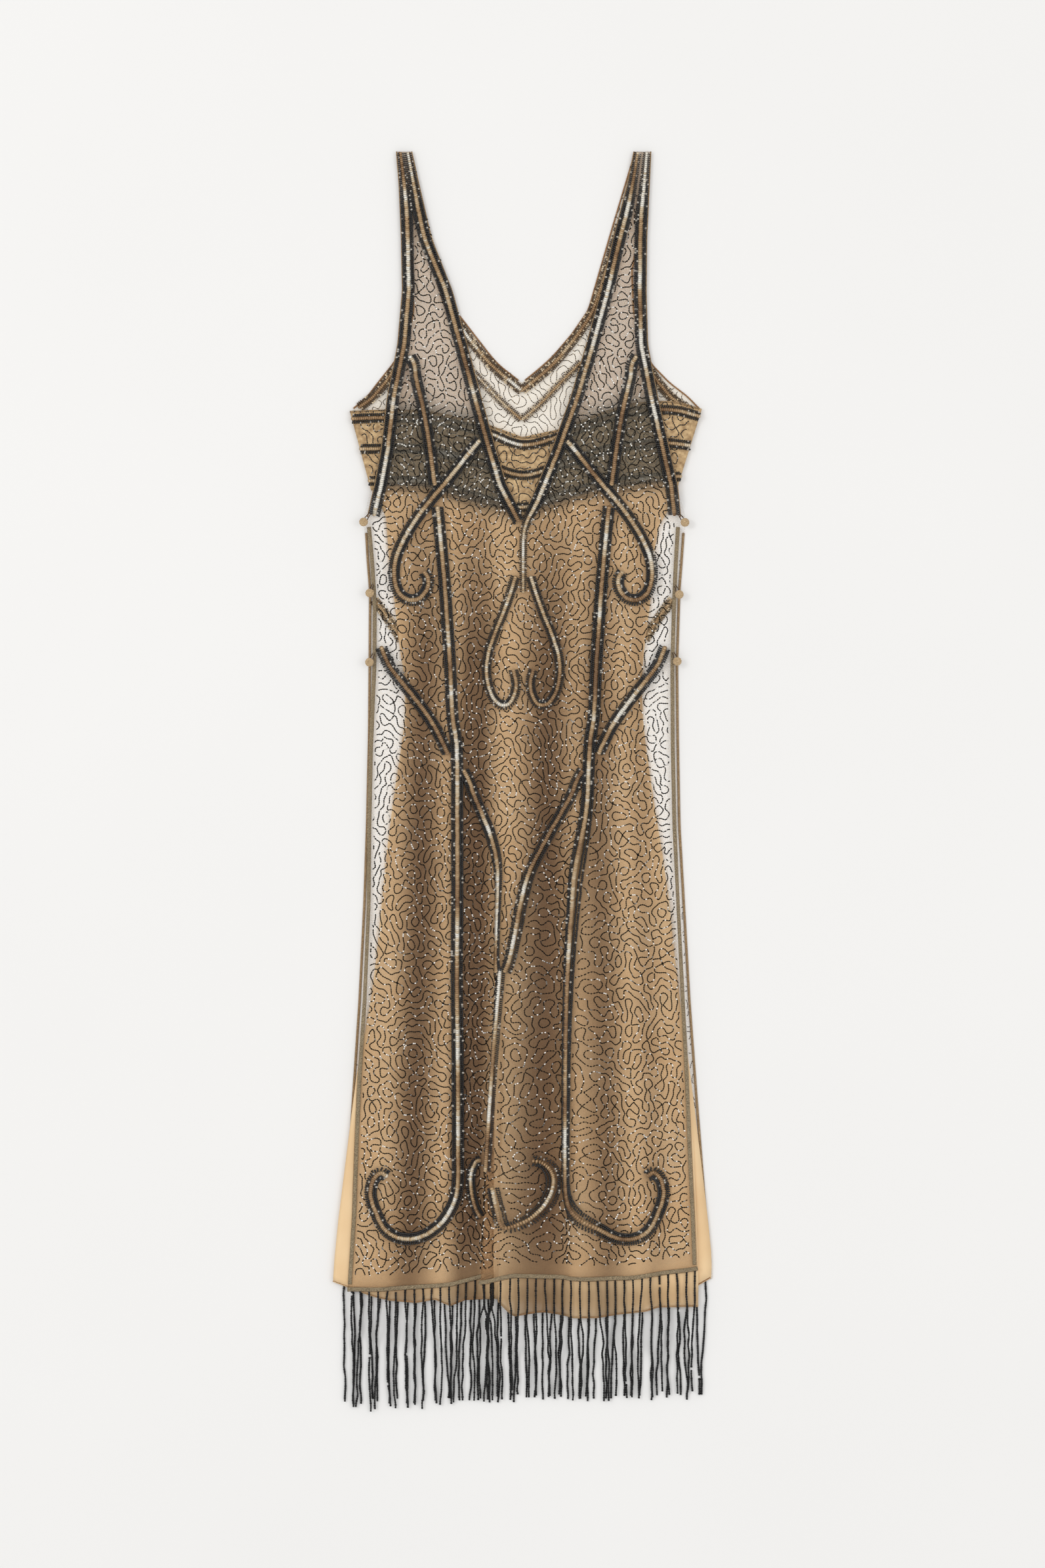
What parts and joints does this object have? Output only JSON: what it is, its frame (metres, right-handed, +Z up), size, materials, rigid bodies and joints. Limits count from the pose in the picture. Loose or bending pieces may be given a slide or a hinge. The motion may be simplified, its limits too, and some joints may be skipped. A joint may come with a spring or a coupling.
{
  "type": "beaded midi dress",
  "caption": "Sleeveless beaded net dress with a deep V neck, open buttoned sides, a fringed hem and a beige slip, laid flat, face up.",
  "frame": {"origin": "on the surface that the dress lies on, under the middle of its box", "axes": "+Z up, away from the surface; +Y from the hem to the shoulders; +X to the right of the front as seen from above"},
  "size_m": [0.399, 1.327, 0.0258],
  "materials": {
    "net": "sheer net with metallic glitter and bugle beads",
    "slip": "matt beige crepe",
    "trim": "gold sequins between rows of black glass beads",
    "binding": "folded glitter net",
    "fringe": "strands of glossy black bugle beads",
    "button": "covered in tan cloth",
    "loop": "dark twisted thread"
  },
  "bodies": {
    "root": {"armhole_trim_left": "trim", "armhole_trim_right": "trim", "back_armhole_trim_left": "trim", "back_armhole_trim_right": "trim", "back_chevron_left": "trim", "back_chevron_right": "trim", "back_neck_trim_left": "trim", "back_neck_trim_right": "trim", "bodice_back": "slip", "bodice_band_1": "trim", "bodice_band_2": "trim", "bodice_band_3": "trim", "bodice_front": "slip", "bust_scroll_left": "trim", "bust_scroll_right": "trim", "button_left_1": "button", "button_left_2": "button", "button_left_3": "button", "button_right_1": "button", "button_right_2": "button", "button_right_3": "button", "centre_stem": "trim", "drop_scroll_left": "trim", "drop_scroll_right": "trim", "fringe_back": "fringe", "fringe_front": "fringe", "hem_binding": "binding", "hem_scroll_left": "trim", "hem_scroll_right": "trim", "hip_line_left": "trim", "hip_line_right": "trim", "loop_left_1": "loop", "loop_left_2": "loop", "loop_left_3": "loop", "loop_right_1": "loop", "loop_right_2": "loop", "loop_right_3": "loop", "neck_trim_left": "trim", "neck_trim_right": "trim", "panel_back": "net", "panel_front": "net", "princess_trim_left": "trim", "princess_trim_right": "trim", "princess_upper_left": "trim", "princess_upper_right": "trim", "side_binding_left": "binding", "side_binding_right": "binding", "skirt_back": "slip", "skirt_front": "slip", "vee_line_left": "trim", "vee_line_right": "trim"}
  },
  "joints": []
}
